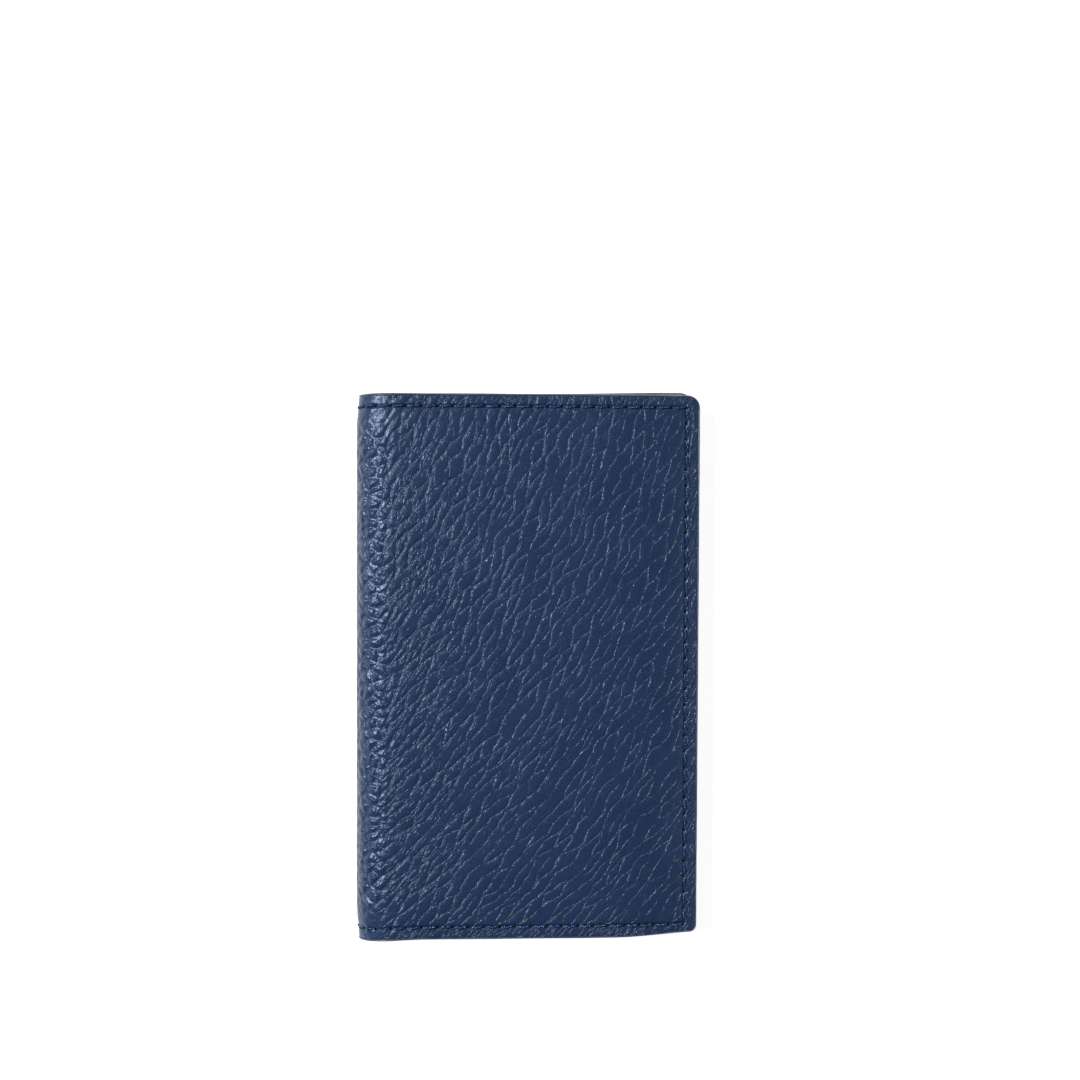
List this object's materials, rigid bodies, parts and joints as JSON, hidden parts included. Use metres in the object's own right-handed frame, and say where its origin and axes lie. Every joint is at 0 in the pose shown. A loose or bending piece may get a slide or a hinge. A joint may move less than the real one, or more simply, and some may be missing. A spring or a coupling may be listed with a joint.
{
  "type": "bifold card holder",
  "caption": "Upright leather bifold card holder, closed, with a round spine fold, stitched painted edges and stepped card slots inside both covers.",
  "frame": {"origin": "middle of the underside of the closed holder, which lies on its back cover", "axes": "+X from the spine fold to the free edge, +Y up the covers to the mouths of the card slots, +Z through the thickness from the back cover to the front cover"},
  "size_m": [0.07, 0.11, 0.012],
  "materials": {
    "cover_leather": "navy tumbled full-grain leather, semi-matte",
    "pocket_leather": "navy fine-grain skived leather",
    "lining_cloth": "pale blue-grey twill lining",
    "board": "thin grey-brown stiffening board",
    "seam_thread": "twisted navy polyester thread",
    "pocket_thread": "fine navy polyester thread",
    "edge_paint": "slate navy-grey edge paint, satin"
  },
  "bodies": {
    "back_cover": {"back_leather": "cover_leather", "back_board": "board", "back_lining": "lining_cloth", "back_pocket_base": "pocket_leather", "back_slot_top": "pocket_leather", "back_slot_middle": "pocket_leather", "back_slot_bottom": "pocket_leather", "back_perimeter_seam": "seam_thread", "back_pocket_seam": "pocket_thread", "back_slot_seam_top": "pocket_thread", "back_slot_seam_middle": "pocket_thread", "back_edge_paint": "edge_paint"},
    "spine": {"spine_leather": "cover_leather", "spine_reinforcement": "board", "spine_lining": "lining_cloth", "spine_seam": "seam_thread", "spine_edge_paint": "edge_paint"},
    "front_cover": {"front_leather": "cover_leather", "front_board": "board", "front_lining": "lining_cloth", "front_pocket_base": "pocket_leather", "front_slot_top": "pocket_leather", "front_slot_middle": "pocket_leather", "front_slot_bottom": "pocket_leather", "front_perimeter_seam": "seam_thread", "front_pocket_seam": "pocket_thread", "front_slot_seam_top": "pocket_thread", "front_slot_seam_middle": "pocket_thread", "front_edge_paint": "edge_paint"}
  },
  "joints": [
    {"name": "spine_fold", "type": "hinge", "parent": "back_cover", "child": "spine", "pos_m": [-0.03324, 0, 0.00176], "axis": [0, -1, 0], "range_deg": [0, 90]},
    {"name": "front_fold", "type": "hinge", "parent": "spine", "child": "front_cover", "pos_m": [-0.03308, 0, 0.01039], "axis": [0, -1, 0], "range_deg": [0, 94.2]}
  ],
  "couplings": [
    {"joint": "front_fold", "follows": "spine_fold", "ratio": 1.0466}
  ]
}
